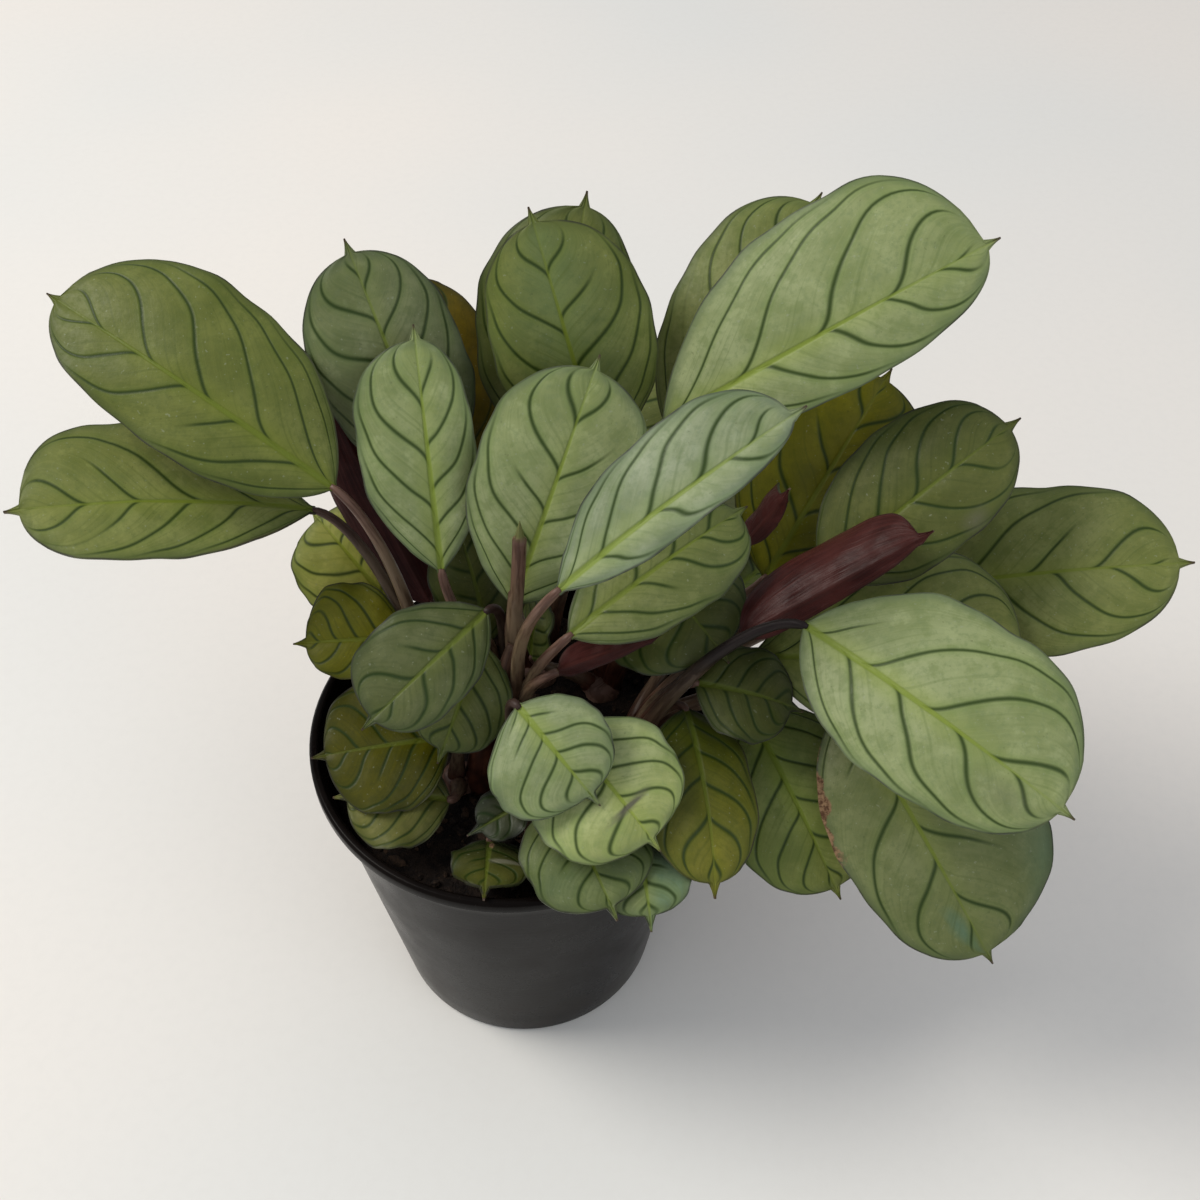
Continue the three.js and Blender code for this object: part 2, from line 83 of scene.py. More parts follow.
# Leaves: name, clump, neck, tip, width, roll, arch, fold, curl, twist, lean, tone
LEAVES = [
    ("left_high", "A", (-40, 20, 162), (-107, 54, 192), 42, -30, 7, 5, -25, 4, -0.24, "mid"),
    ("left_low", "A", (-49, 33, 142), (-116, 14, 160), 38, -20, 5, 8, -20, -4, -0.2, "mid"),
    ("back_left", "D", (-18, 38, 150), (-37, 60, 203), 36.5, -25, 6, 5, -25, 6, 0.05, "mid"),
    ("back_left_olive", "D", (-13, 42, 138), (-28, 79, 182), 34, 5, 6, 5, -20, 0, 0, "amber"),
    ("centre_left", "C", (-16, 12, 142), (-21, 45, 190), 27.5, 0, 5, 5, -15, -3, 0.18, "pale"),
    ("back_top", "D", (10, 51, 144), (19, 72, 208), 39, 15, 7, 5, -20, 0, 0.17, "mid"),
    ("back_centre", "D", (22, 40, 155), (6, 56, 214), 38.5, -35, 7, 5, -25, 4, -0.08, "mid"),
    ("centre_big", "C", (1, 7, 136), (22, 34, 190), 39, 30, 6, 5, -20, 0, 0, "pale"),
    ("centre_diagonal", "C", (13, -18, 168), (64, 1, 203), 22, 30, 5, 8, -15, 3, 0.35, "pale"),
    ("under_diagonal", "C", (15, -10, 144), (57, 22, 154), 25, 20, 4, 8, -15, 0, -0.15, "mid"),
    ("dark_mid", "E", (29, 26, 134), (53, -4, 127), 38, 15, 5, 5, -20, 0, -0.12, "shade"),
    ("top_right_back", "E", (42, 50, 148), (76, 84, 200), 35, 25, 6, 5, -25, 0, 0.15, "mid"),
    ("top_right_big", "E", (37, 36, 168), (110, 47, 212), 43, 45, 6, 5, -25, -5, 0.33, "pale"),
    ("right_olive", "E", (64, 25, 126), (95, 60, 165), 41, 20, 5, 5, -15, 4, 0, "olive"),
    ("right_upper", "F", (76, 15, 138), (120, 32, 173), 34, 30, 5, 5, -20, 0, 0.08, "shade"),
    ("right_far", "F", (97, 35, 109), (166, 16, 141), 44, 35, 6, 5, -20, -4, 0.05, "mid"),
    ("right_big", "F", (68, -12, 150), (121, -57, 140), 44, 30, 7, 5, -25, 4, 0.16, "pale"),
    ("right_under", "F", (59, 3, 121), (128, -4, 122), 50, 27, 6, 5, -20, 0, 0.22, "mid"),
    ("low_right_inner", "F", (59, 0, 105), (82, -39, 77), 39, 17, 6, 5, -18, 0, 0.06, "deep"),
    ("low_right_big", "F", (82, -5, 114), (117, -56, 76), 49, 25, 8, 5, -20, -4, 0.18, "mid"),
    ("low_centre", "F", (43, -7, 113), (49, -50, 96), 27, -10, 5, 5, -15, 0, -0.07, "yellow"),
    ("front_round_a", "H", (3, -20, 131), (22, -38, 117), 31, 25, 3, 5, -20, 3, -0.13, "pale"),
    ("front_round_b", "G", (13, -19, 120), (36, -44, 107), 37, 15, 4, 5, -15, -3, -0.06, "pale"),
    ("front_low_c", "H", (12, -28, 105), (26, -57, 98), 31, 0, 2, 5, -10, 0, 0, "mid"),
    ("front_low_d", "G", (31, -37, 99), (34, -57, 93), 23, 0, 3, 5, -8, 0, -0.05, "mid"),
    ("front_left_e", "C", (-5, 4, 137), (-33, -24, 127), 26, -30, 3, 5, -15, 3, -0.14, "mid"),
    ("left_olive", "A", (-27, 15, 114), (-56, 13, 114), 25, -35, 3, 5, -15, 0, -0.2, "olive"),
    ("left_yellow", "A", (-32, 27, 112), (-55, 51, 124), 33, -20, 3, 5, -15, 0, -0.05, "lemon"),
    ("left_front_f", "B", (-15, -11, 107), (-48, -19, 109), 33, -30, 3, 5, -15, -3, 0, "olive"),
    ("left_front_g", "B", (-15, -23, 97), (-43, -25, 101), 26, -15, 3, 5, -12, 0, 0.05, "straw"),
    ("grey_inner", "C", (-7, 3, 126), (-17, -22, 111), 24, -20, 2, 5, -15, 0, 0, "shade"),
    ("small_dark", "H", (4, -26, 101), (-10, -34, 98), 13, -25, 1, 15, 0, 0, 0, "shade"),
    ("torn_small", "H", (-5, -32, 93), (-5, -52, 99), 19, -5, 1, 5, -15, 0, 0.08, "dusk"),
    ("back_low_left", "D", (-16, 52, 108), (-40, 98, 96), 38, -10, 8, 5, -20, 0, 0.1, "mid"),
    ("back_low_mid", "D", (4, 54, 112), (6, 108, 104), 40, 0, 9, 5, -20, 0, -0.1, "pale"),
    ("back_low_right", "E", (34, 46, 112), (62, 90, 106), 39, 10, 8, 5, -20, 0, 0.1, "mid"),
    ("back_mid_left", "D", (-8, 54, 132), (-28, 102, 146), 36, 0, 7, 5, -20, 0, 0.1, "pale"),
    ("back_mid_right", "E", (24, 56, 130), (34, 104, 138), 37, 0, 7, 5, -20, 0, -0.1, "mid"),
    ("back_side_right", "F", (54, 38, 100), (90, 70, 90), 38, 0, 8, 5, -20, 0, 0.1, "deep"),
    ("inner_right", "F", (45, -7, 123), (71, -11, 117), 24, 20, 3, 5, -15, 0, 0, "shade"),
    ("inner_left", "C", (-7, 15, 112), (-14, 28, 145), 23, 0, 3, 5, -15, 0, 0, "shade"),
    ("inner_upright", "E", (4, 20, 100), (10, 23, 124), 16, 0, 2, 5, -15, 0, 0, "mid"),
]

# Young leaves still rolled up, their purple backs outward; same columns
ROLLED = [
    ("left_rolled", "A", (-22, 25, 116), (-46, 54, 160), 22, 165, 3, 0, 60, 0, 0, "mid"),
    ("purple_rolled", "F", (55, -4, 137), (97, 4, 164), 19, -145, 3, 0, 50, 0, -0.6, "mid"),
    ("purple_low", "C", (12, -10, 131), (37, -3, 137), 8.5, -145, 2, 0, 40, 0, -0.5, "mid"),
    ("purple_small", "E", (58, 23, 140), (67, 24, 158), 10, -140, 2, 0, 60, 0, -0.5, "mid"),
]

# Stalks led clear of their neighbours: how far each inner control point moves
LED = {
    "right_big": ((2, -13, 10), (0, -3, 1)),
    "purple_rolled": ((2, -12, 9), (0, -3, 0)),
}

# Stalks darker than the rest; on front_round_a and front_left_e the dark is painted shade,
# standing for the shadowed gap behind the blade base
DARK_STALKS = {
    "right_big": 0.95, "purple_rolled": 0.6, "left_low": 0.3, "top_right_big": 0.9,
    "front_round_a": 0.75, "front_left_e": 0.8,
}

# Colour of the open blade between its veins, linear
TONES = {
    "pale": (0.238, 0.276, 0.126),
    "mid": (0.140, 0.160, 0.045),
    "deep": (0.100, 0.128, 0.034),
    "shade": (0.076, 0.085, 0.022),
    "dusk": (0.034, 0.042, 0.030),
    # painted light and shade: amber and olive are partly the blades' own colour; on
    # back_left_olive and right_olive they also stand in for light shining through the blade from
    # behind, with its face in shade
    "amber": (0.110, 0.078, 0.001),
    "olive": (0.108, 0.102, 0.003),
    "straw": (0.140, 0.140, 0.036),
    "yellow": (0.062, 0.080, 0.008),
    "lemon": (0.330, 0.310, 0.070),
}

# How bright each leaf is beside its tone
BRIGHT = {
    "left_high": 0.95, "left_low": 1.33, "back_left": 1.18, "back_left_olive": 1.06,
    "centre_left": 1.07, "back_top": 0.96, "back_centre": 1.31, "centre_big": 1.06,
    "centre_diagonal": 1.08, "under_diagonal": 1.05, "dark_mid": 1.12, "top_right_back": 1.42,
    "right_olive": 1.3, "right_upper": 1.32, "right_far": 1.28, "low_right_inner": 1.7,
    "low_right_big": 1.15, "low_centre": 0.6, "front_round_b": 1.4, "front_low_c": 1.08,
    "front_low_d": 1.52, "front_left_e": 0.7, "left_olive": 1.49, "left_yellow": 1.53,
    "left_front_f": 0.6, "left_front_g": 0.66, "grey_inner": 1.76, "small_dark": 0.62,
    "torn_small": 0.68, "back_low_left": 0.96, "back_low_right": 1.05, "back_mid_left": 0.93,
    "back_mid_right": 1.05, "inner_right": 0.96, "inner_left": 1.07, "inner_upright": 0.94,
    "right_under": 1.25, "top_right_big": 1.08, "right_big": 1.07, "front_round_a": 1.06,
}

# Leaves bluer or less blue than their tone
BLUE = {
    "left_high": 0.78, "back_left": 1.65, "back_left_olive": 0.3, "back_centre": 0.86,
    "centre_diagonal": 1.35, "under_diagonal": 1.22, "low_right_big": 1.42,
    "low_centre": 0.5, "front_round_a": 1.1, "front_low_c": 1.28, "front_low_d": 1.6,
    "front_left_e": 1.35, "grey_inner": 1.15, "right_far": 1.1, "top_right_back": 1.1,
    "left_yellow": 0.85, "left_front_f": 0.2, "small_dark": 2.2, "torn_small": 0.5,
}

# Leaves whose colour turns towards the tip, and how far
TIP_TONES = {
    "low_centre": ("lemon", 1.0),
    "low_right_inner": ("straw", 0.55),
    "left_low": ("straw", 0.35),
    "right_far": ("straw", 0.25),
    "right_under": ("straw", 0.4),
    "front_round_b": ("lemon", 0.3),
    "torn_small": ("lemon", 0.45),
    "left_front_g": ("lemon", 0.6),
    "back_centre": ("straw", 0.35),
    "left_yellow": ("pale", 0.5),
}

# Blades drawn out towards their stalk: where they are broadest, and how they narrow
PLAIN = (0.5, 0.75)
DRAWN = {
    "left_low": (0.64, 1.05),
    "centre_left": (0.55, 0.9),
    "centre_big": (0.54, 0.85),
    "centre_diagonal": (0.53, 0.9),
    "top_right_big": (0.6, 0.9),
    "right_under": (0.62, 1.1),
    "front_left_e": (0.58, 0.8),
    "purple_rolled": (0.34, 0.8),
    "purple_low": (0.3, 0.8),
}

# How the side veins run: straight share, bend, last sweep along the margin, hook at the midrib
VEIN_START = 0.85
VEIN_BEND = 0.4
VEIN_SWEEP = 0.9
SWEEP_POWER = 8
VEIN_HOOK = 0.09
HOOK_FALL = 20.0
VEIN_WANDER = 0.3
SIDE_VEINS = 5.3
CLOSEST_VEINS = 3.0
FINE_LINES = 6.0

# How uneven a blade is: its outline as a share of its width, its sheet in millimetres
RUFFLE = 0.014
FINE_RUFFLE = 0.009
WAVER = 0.42
FINE_WAVER = 0.18
PILLOW = 0.24
RIB_GROOVE = 0.22
RIB_KEEL = 0.7

GRID_ALONG = 60
GRID_ACROSS = 28
SPUR_ROWS = 6
OUTLINE_STEPS = 40
MARGIN_CROWDING = 1.3
BOX_EASE = 0.00002

CRUMBS = 420
CRUMB_REACH = 45.5
CRUMB_CLEAR = 7
CHIP_SHARE = 0.15

# Camera and lamps, in metres, degrees and watts; a lamp has its name, place, size, power, colour
CAMERA_AT = (0.022, -0.224, 0.394)
CAMERA_PITCH = 42
SENSOR = 36
LENS = 43.2
SKY_COLOUR = (0.93, 0.95, 1.0, 1)
SKY_STRENGTH = 0.56
LAMP_AIM = Vector((0.02, 0, 0.1))
LAMPS = [
    ("window", (-1.1, 0.1, 1.5), 0.9, 22, (1.0, 0.95, 0.88)),
    ("fill", (0.9, -0.9, 1.2), 1.0, 3, (0.92, 0.97, 1.0)),
]


# Camera and light

def add_object(name, data):
    made = bpy.data.objects.new(name, data)
    bpy.context.scene.collection.objects.link(made)
    return made


def add_mesh(bm, name, materials):
    mesh = bpy.data.meshes.new(name)
    bm.to_mesh(mesh)
    bm.free()
    for material in materials:
        mesh.materials.append(material)
    return add_object(name, mesh)


def set_camera():
    data = bpy.data.cameras.new("camera")
    data.sensor_width = SENSOR
    data.lens = LENS
    camera = add_object("camera", data)
    camera.location = CAMERA_AT
    camera.rotation_euler = (math.radians(CAMERA_PITCH), 0, 0)
    bpy.context.scene.camera = camera


def add_light(name, place, size, power, colour):
    data = bpy.data.lights.new(name, "AREA")
    data.shape = "DISK"
    data.size = size
    data.energy = power
    data.color = colour
    lamp = add_object(name, data)
    lamp.location = place
    lamp.rotation_euler = (LAMP_AIM - Vector(place)).to_track_quat("-Z", "Y").to_euler()


def light_studio():
    world = bpy.data.worlds.new("studio")
    world.use_nodes = True
    sky = world.node_tree.nodes["Background"]
    sky.inputs["Color"].default_value = SKY_COLOUR
    sky.inputs["Strength"].default_value = SKY_STRENGTH
    bpy.context.scene.world = world
    for lamp in LAMPS:
        add_light(*lamp)
    bpy.context.scene.view_settings.view_transform = "Standard"


# Shading helpers

class Shade:
    """Adds nodes to one tree, each wired as it is made."""

    def __init__(self, tree):
        self.tree = tree

    def node(self, kind, **settings):
        made = self.tree.nodes.new(kind)
        for key, value in settings.items():
            setattr(made, key, value)
        return made

    def put(self, socket, value):
        if isinstance(value, bpy.types.NodeSocket):
            self.tree.links.new(value, socket)
        elif isinstance(value, tuple) and len(value) == 3 and socket.type == "RGBA":
            socket.default_value = (*value, 1)
        else:
            socket.default_value = value

    def calc(self, operation, a, b=0.0, c=0.0, clamp=False):
        made = self.node("ShaderNodeMath", operation=operation, use_clamp=clamp)
        for socket, value in zip(made.inputs, (a, b, c)):
            self.put(socket, value)
        return made.outputs[0]

    def times(self, a, b):
        return self.calc("MULTIPLY", a, b)

    def plus(self, a, b):
        return self.calc("ADD", a, b)

    def ramp(self, value, low, high, out_low=0.0, out_high=1.0):
        made = self.node("ShaderNodeMapRange", interpolation_type="SMOOTHSTEP")
        for name, given in (
            ("Value", value), ("From Min", low), ("From Max", high),
            ("To Min", out_low), ("To Max", out_high),
        ):
            self.put(made.inputs[name], given)
        return made.outputs[0]

    def mix(self, share, a, b, blend="MIX"):
        made = self.node("ShaderNodeMix", data_type="RGBA", blend_type=blend)
        self.put(made.inputs[0], share)
        self.put(made.inputs[6], a)
        self.put(made.inputs[7], b)
        return made.outputs[2]

    def grain(self, where, scale, detail=2.0, rough=0.5, dims="3D"):
        made = self.node("ShaderNodeTexNoise", noise_dimensions=dims)
        self.put(made.inputs["Vector"], where)
        self.put(made.inputs["Scale"], scale)
        self.put(made.inputs["Detail"], detail)
        self.put(made.inputs["Roughness"], rough)
        return made.outputs["Fac"]

    def vector(self, x, y, z):
        made = self.node("ShaderNodeCombineXYZ")
        for socket, value in zip(made.inputs, (x, y, z)):
            self.put(socket, value)
        return made.outputs[0]

    def parts(self, value):
        made = self.node("ShaderNodeSeparateXYZ")
        self.put(made.inputs[0], value)
        return made.outputs[0], made.outputs[1], made.outputs[2]

    def place(self):
        return self.node("ShaderNodeTexCoord").outputs["Object"]

    def stored(self, name, colour=False):
        made = self.node("ShaderNodeAttribute", attribute_name=name)
        return made.outputs["Color" if colour else "Vector"]

    def bump(self, height, strength, distance):
        made = self.node("ShaderNodeBump")
        made.inputs["Strength"].default_value = strength
        made.inputs["Distance"].default_value = distance
        self.put(made.inputs["Height"], height)
        return made.outputs[0]


def new_group(name, inputs, outputs):
    tree = bpy.data.node_groups.new(name, "ShaderNodeTree")
    for title, kind in inputs:
        tree.interface.new_socket(name=title, in_out="INPUT", socket_type=kind)
    for title, kind in outputs:
        tree.interface.new_socket(name=title, in_out="OUTPUT", socket_type=kind)
    shade = Shade(tree)
    return tree, shade, shade.node("NodeGroupInput").outputs, shade.node("NodeGroupOutput").inputs


def new_material(name, specular):
    material = bpy.data.materials.new(name)
    material.use_nodes = True
    surface = material.node_tree.nodes["Principled BSDF"].inputs
    surface["Specular IOR Level"].default_value = specular
    return material, Shade(material.node_tree), surface


# Leaf materials

def vein_pattern():
    """Where a leaf's midrib, side veins, margin and fine grain lie, from what its mesh stores."""
    tree, s, given, out = new_group(
        "vein_pattern",
        [(title, "NodeSocketVector") for title in ("Across", "Veins", "Off Rib")],
        [(title, "NodeSocketFloat") for title in
         ("Vein", "Shadow", "Fine", "Midrib", "Halo", "Margin", "Edge", "Streak", "Height")],
    )
    across, along, edge = s.parts(given["Across"])
    count, reach, spacing = s.parts(given["Veins"])
    off_rib, sweep, side = s.parts(given["Off Rib"])
    t = s.calc("ABSOLUTE", across)
    t2 = s.times(t, t)
    t3 = s.times(t2, t)
    t_near = s.calc("POWER", t, SWEEP_POWER - 1.0)
    hook = s.calc("EXPONENT", s.times(t, -HOOK_FALL))
    swept = s.plus(s.times(t3, VEIN_BEND), s.times(s.times(t_near, t), VEIN_SWEEP))
    swept = s.plus(swept, s.times(s.calc("SUBTRACT", 1.0, hook), VEIN_HOOK))
    where = s.vector(s.times(across, 1.3), s.times(along, 2.4), s.times(side, 7.0))
    wander = s.times(s.plus(s.grain(where, 1.0, 1.0), -0.5), VEIN_WANDER)
    phase = s.calc("SUBTRACT", s.plus(count, wander), s.times(reach, swept))
    slope = s.plus(s.times(t2, 3 * VEIN_BEND), s.times(t_near, SWEEP_POWER * VEIN_SWEEP))
    slope = s.plus(s.plus(slope, VEIN_START), s.times(hook, HOOK_FALL * VEIN_HOOK))
    slope = s.times(slope, sweep)
    lean = s.calc("SQRT", s.plus(s.times(slope, slope), 1.0))

    def distance(phase_now, gap):
        middle = s.calc("ABSOLUTE", s.calc("SUBTRACT", s.calc("FRACT", phase_now), 0.5))
        return s.calc("DIVIDE", s.times(middle, gap), lean)

    number = s.calc("FLOOR", phase)
    chance = s.node("ShaderNodeTexWhiteNoise", noise_dimensions="1D")
    s.put(chance.inputs["W"], number)
    luck = chance.outputs["Value"]
    away = distance(phase, spacing)
    swell = s.times(s.ramp(t, 0.0, 0.12, 0.75, 1.1), s.ramp(t, 0.3, 0.95, 1.0, 0.32))
    broad = s.times(swell, s.ramp(luck, 0.0, 1.0, 0.7, 1.15))
    broad = s.times(broad, s.ramp(spacing, CLOSEST_VEINS, 12, 0.17, 0.34))
    soft = s.plus(broad, 0.46)
    lost = s.times(s.ramp(luck, 0.14, 0.2, 1.0, 0.0), s.ramp(t, 0.3, 0.62, 0.0, 1.0))
    kept = s.times(s.calc("SUBTRACT", 1.0, lost), s.ramp(slope, 3.6, 8.0, 1.0, 0.35))
    kept = s.times(kept, s.ramp(along, 0.89, 0.95, 1.0, 0.0))
    vein = s.times(s.ramp(away, s.times(broad, 0.15), soft, 1.0, 0.0), kept)
    s.put(out["Vein"], s.times(vein, s.ramp(edge, 0.3, 2.2, 0.55, 1.0)))
    s.put(out["Shadow"], s.times(s.ramp(away, 0.2, 2.2, 1.0, 0.0), kept))

    between = distance(s.plus(phase, s.ramp(luck, 0.0, 1.0, 0.36, 0.64)), spacing)
    second = s.times(s.ramp(between, 0.08, 0.42, 0.8, 0.0), s.ramp(t, 0.3, 0.75, 1.0, 0.0))
    fine_gap = s.calc("DIVIDE", spacing, FINE_LINES)
    fine = s.ramp(distance(s.times(phase, FINE_LINES), fine_gap), 0.05, 0.35, 0.55, 0.0)
    spots = s.grain(s.vector(s.times(phase, 2.0), s.times(t, 2.5), number), 1.0)
    s.put(out["Fine"], s.calc("MAXIMUM", second, s.times(fine, s.ramp(spots, 0.4, 0.65))))

    rib = s.ramp(along, 0.0, 0.95, 0.85, 0.16)
    midrib = s.ramp(off_rib, s.times(rib, 0.55), s.plus(rib, 0.28), 1.0, 0.0)
    midrib = s.times(midrib, s.ramp(along, 0.55, 1.0, 1.0, 0.25))
    s.put(out["Midrib"], midrib)
    halo = s.ramp(off_rib, 0.5, 5.5, 1.0, 0.0)
    s.put(out["Halo"], s.times(halo, s.ramp(along, 0.2, 0.9, 1.0, 0.3)))
    margin = s.ramp(edge, 0.2, 2.9, 1.0, 0.0)
    s.put(out["Margin"], s.times(margin, s.ramp(along, 0.91, 0.96, 1.0, 0.35)))
    uneven = s.grain(s.vector(s.times(along, 9.0), across, count), 1.0)
    rim = s.times(s.ramp(edge, 0.1, 0.6, 1.0, 0.0), s.ramp(uneven, 0.35, 0.65, 0.45, 1.0))
    s.put(out["Edge"], s.times(rim, s.ramp(along, 0.92, 0.96, 1.0, 0.3)))
    run = s.vector(s.times(s.times(phase, spacing), 1.3), s.times(t, 1.3), number)
    lines = s.grain(run, 1.0, 4.0, 0.68)
    s.put(out["Streak"], lines)
    hollow = s.plus(s.times(vein, -0.7), s.times(midrib, -0.8))
    s.put(out["Height"], s.plus(hollow, s.times(lines, 0.15)))
    return tree


def leaf_pattern_on(s, pattern):
    laid = s.node("ShaderNodeGroup", node_tree=pattern)
    s.put(laid.inputs["Across"], s.stored("across"))
    s.put(laid.inputs["Veins"], s.stored("veins"))
    s.put(laid.inputs["Off Rib"], s.stored("off_rib"))
    return laid.outputs


def leaf_face(pattern):
    """Upper face: sage green, yellower along the midrib, dark veins and margin."""
    material, s, surface = new_material("leaf_face", 0.2)
    found = leaf_pattern_on(s, pattern)
    place = s.place()
    field = s.stored("field", colour=True)
    marks = s.node("ShaderNodeAttribute", attribute_name="marks")
    dry, cool, flush = s.parts(marks.outputs["Vector"])
    along = s.parts(s.stored("across"))[1]
    clouds = s.grain(place, 62.0, 3.0, 0.6)
    blots = s.grain(place, 190.0, 4.0, 0.62)
    mottle = s.grain(place, 700.0, 3.0, 0.65)

    def toned(red, green, blue):
        return s.mix(1.0, field, (red, green, blue), "MULTIPLY")

    near, far = toned(1.06, 1.06, 1.12), toned(0.84, 0.86, 0.72)
    colour = s.mix(s.ramp(along, 0.2, 1.0, 0.0, 0.75), near, far)
    colour = s.mix(s.ramp(clouds, 0.36, 0.66, 0.0, 0.7), colour, toned(0.62, 0.68, 0.50))
    colour = s.mix(s.ramp(blots, 0.5, 0.66, 0.0, 0.58), colour, toned(0.58, 0.66, 0.48))
    colour = s.mix(s.ramp(blots, 0.46, 0.32, 0.0, 0.5), colour, toned(1.2, 1.19, 1.25))
    colour = s.mix(s.ramp(mottle, 0.45, 0.70, 0.0, 0.55), colour, toned(0.64, 0.72, 0.66))
    colour = s.mix(s.ramp(found["Streak"], 0.45, 0.7, 0.0, 0.17), colour, toned(1.28, 1.24, 1.18))
    flecks = s.grain(place, 1150.0, 1.0, 0.5)
    colour = s.mix(s.ramp(flecks, 0.7, 0.76, 0.0, 0.3), colour, (0.30, 0.33, 0.24))
    colour = s.mix(s.ramp(flecks, 0.27, 0.22, 0.0, 0.4), colour, toned(0.42, 0.42, 0.36))
    colour = s.mix(s.times(found["Halo"], 0.42), colour, toned(1.12, 1.18, 0.55))
    colour = s.mix(cool, colour, (0.070, 0.158, 0.112))
    colour = s.mix(s.times(found["Margin"], 0.7), colour, toned(0.42, 0.50, 0.52))
    colour = s.mix(s.times(found["Shadow"], 0.42), colour, toned(0.66, 0.8, 0.52))
    colour = s.mix(s.times(found["Fine"], 0.4), colour, toned(0.45, 0.55, 0.36))
    pale_vein = toned(0.09, 0.155, 0.02)
    vein_green = s.mix(s.ramp(along, 0.0, 1.0, 0.5, 0.25), (0.014, 0.036, 0.002), pale_vein)
    colour = s.mix(s.times(found["Vein"], 0.9), colour, vein_green)
    rib_green = s.mix(0.45, toned(0.95, 1.1, 0.28), (0.105, 0.140, 0.018))
    colour = s.mix(s.times(found["Midrib"], 0.85), colour, rib_green)
    colour = s.mix(s.ramp(along, 0.972, 1.0, 0.0, 0.85), colour, (0.105, 0.058, 0.048))
    colour = s.mix(s.calc("MULTIPLY", flush, 0.8, clamp=True), colour, (0.09, 0.035, 0.035))
    colour = s.mix(s.calc("MULTIPLY", flush, -0.8, clamp=True), colour, (0.115, 0.115, 0.072))
    colour = s.mix(s.times(found["Edge"], 0.8), colour, (0.020, 0.018, 0.018))
    crisp = s.grain(place, 900.0, 3.0, 0.7)
    husk = s.mix(s.ramp(crisp, 0.35, 0.65), (0.075, 0.036, 0.018), (0.24, 0.15, 0.08))
    dried = s.ramp(s.plus(dry, s.times(crisp, 0.35)), 0.5, 0.68)
    colour = s.mix(dried, colour, husk)
    s.put(surface["Base Color"], colour)
    rough = s.plus(s.ramp(mottle, 0.3, 0.8, 0.42, 0.58), s.times(found["Vein"], -0.04))
    s.put(surface["Roughness"], s.calc("MAXIMUM", rough, s.times(dried, 0.85)))
    s.put(surface["Normal"], s.bump(s.plus(found["Height"], s.times(mottle, 0.45)), 0.55, 0.00028))
    return material


def leaf_back(pattern, name, veined):
    """Under face: deep purple-maroon, its veins raised and more or less plain to see."""
    material, s, surface = new_material(name, 0.1)
    found = leaf_pattern_on(s, pattern)
    place = s.place()
    clouds = s.grain(place, 70.0, 3.0, 0.6)
    mottle = s.grain(place, 480.0, 3.0, 0.65)
    across, along, _ = s.parts(s.stored("across"))
    lengthwise = s.grain(s.vector(s.times(across, 16.0), s.times(along, 2.0), 0.0), 1.0, 3.0, 0.6)
    colour = s.mix(s.ramp(clouds, 0.3, 0.7), (0.024, 0.0060, 0.0052), (0.058, 0.0160, 0.0135))
    colour = s.mix(s.ramp(lengthwise, 0.4, 0.7, 0.0, 0.45), colour, (0.083, 0.023, 0.019))
    colour = s.mix(s.times(found["Vein"], 0.6 * veined), colour, (0.022, 0.006, 0.007))
    colour = s.mix(s.times(found["Midrib"], 0.7 * veined), colour, (0.085, 0.038, 0.028))
    colour = s.mix(s.times(found["Edge"], 0.6), colour, (0.028, 0.018, 0.014))
    s.put(surface["Base Color"], colour)
    s.put(surface["Roughness"], s.ramp(mottle, 0.3, 0.8, 0.3, 0.44))
    skin = s.plus(s.times(mottle, 0.4), lengthwise)
    raised = s.plus(s.times(found["Height"], -0.8 * veined), skin)
    s.put(surface["Normal"], s.bump(raised, 0.5, 0.0003))
    return material


# Leaf shape

def half_width(s, width, length, wide, drawn):
    """Half width at s along the midrib, on a half whose share of the width is wide."""
    middle, power = drawn
    body = 1 - SPUR_LENGTH / length
    broadest = middle + 0.25 * (wide - 1)
    u = min(s / body, 1)
    if u < broadest:
        w = max(0.0, 1 - ((broadest - u) / broadest) ** 2.3) ** power
    else:
        w = math.sqrt(max(0.0, 1 - ((u - broadest) / (1 - broadest)) ** 2.8))
    w *= width / 2 * wide
    if s < 0.4:
        return max(w, NECK_HALF)
    left = min(1, (1 - s) * length / SPUR_LENGTH)
    return max(w, TIP_HALF + (SPUR_HALF - TIP_HALF) * left**1.5)


def turned(vector, axis, angle):
    return Matrix.Rotation(angle, 3, axis) @ vector


